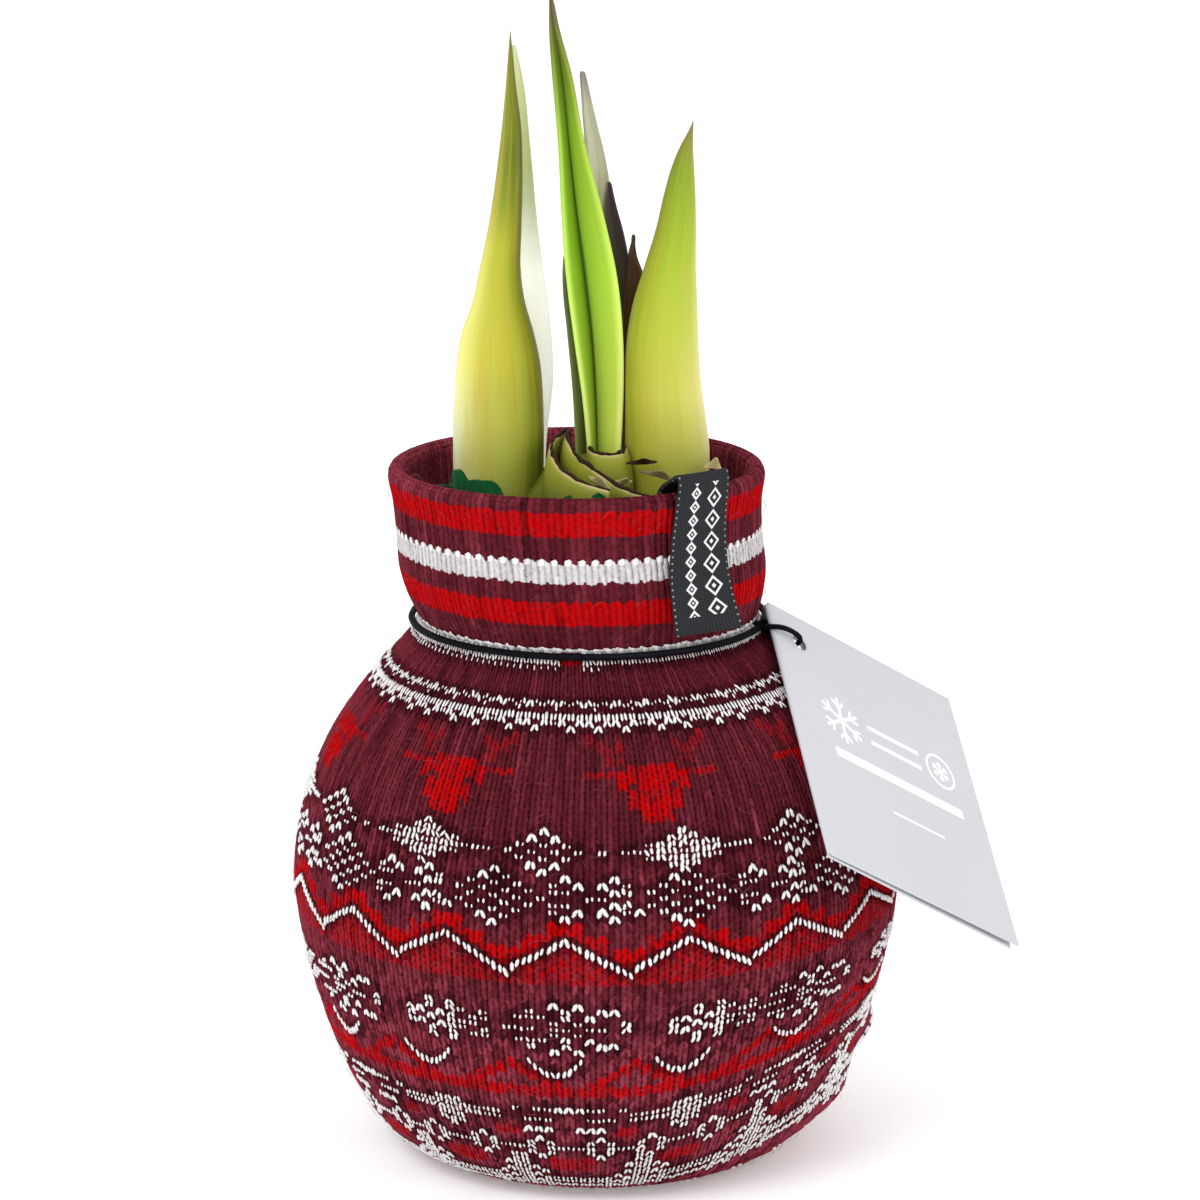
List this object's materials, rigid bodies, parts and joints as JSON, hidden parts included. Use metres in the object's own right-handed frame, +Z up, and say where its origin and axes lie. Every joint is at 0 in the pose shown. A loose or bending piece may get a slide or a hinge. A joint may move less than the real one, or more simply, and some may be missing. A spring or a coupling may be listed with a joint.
{
  "type": "amaryllis bulb",
  "caption": "Waxed amaryllis bulb in a knitted sleeve with a turned-up collar, elastic, hang tag and woven label, with shoots and strap leaves growing from its neck.",
  "frame": {"origin": "middle of the flat spot under the sleeve that the bulb stands on", "axes": "+Z up along the bulb, -Y towards the front of the collar, +X towards the hang tag"},
  "size_m": [0.1143, 0.0968, 0.183],
  "materials": {
    "bulb_skin": "living bulb scales, pale yellow-green, slightly waxy",
    "green_wax": "dark green dipped wax, satin",
    "jacquard_knit": "cotton jacquard knit, maroon with red and off-white motifs",
    "black_elastic": "braided black elastic cord",
    "grey_card": "uncoated light grey card",
    "black_ribbon": "black woven satin ribbon",
    "young_green": "young fleshy leaf, yellow-green, satin",
    "leaf_green": "bright green strap leaf, satin",
    "dark_green": "dark green leaf, satin",
    "grey_green": "dull grey-green leaf back",
    "purple_brown": "purple-brown leaf, matt",
    "pale_green": "pale green blanched leaf",
    "dried_brown": "dry brown plant tissue"
  },
  "bodies": {
    "root": {"bulb": "bulb_skin", "wax_coat": "green_wax", "knit_sleeve": "jacquard_knit", "elastic_cord": "black_elastic", "hang_tag": "grey_card", "woven_label": "black_ribbon", "shoot_left": "young_green", "shoot_right": "young_green", "leaf_tall": "leaf_green", "leaf_thin": "dark_green", "leaf_grey": "grey_green", "leaf_purple": "purple_brown", "leaf_pale": "pale_green", "dried_scape": "dried_brown"}
  },
  "joints": []
}
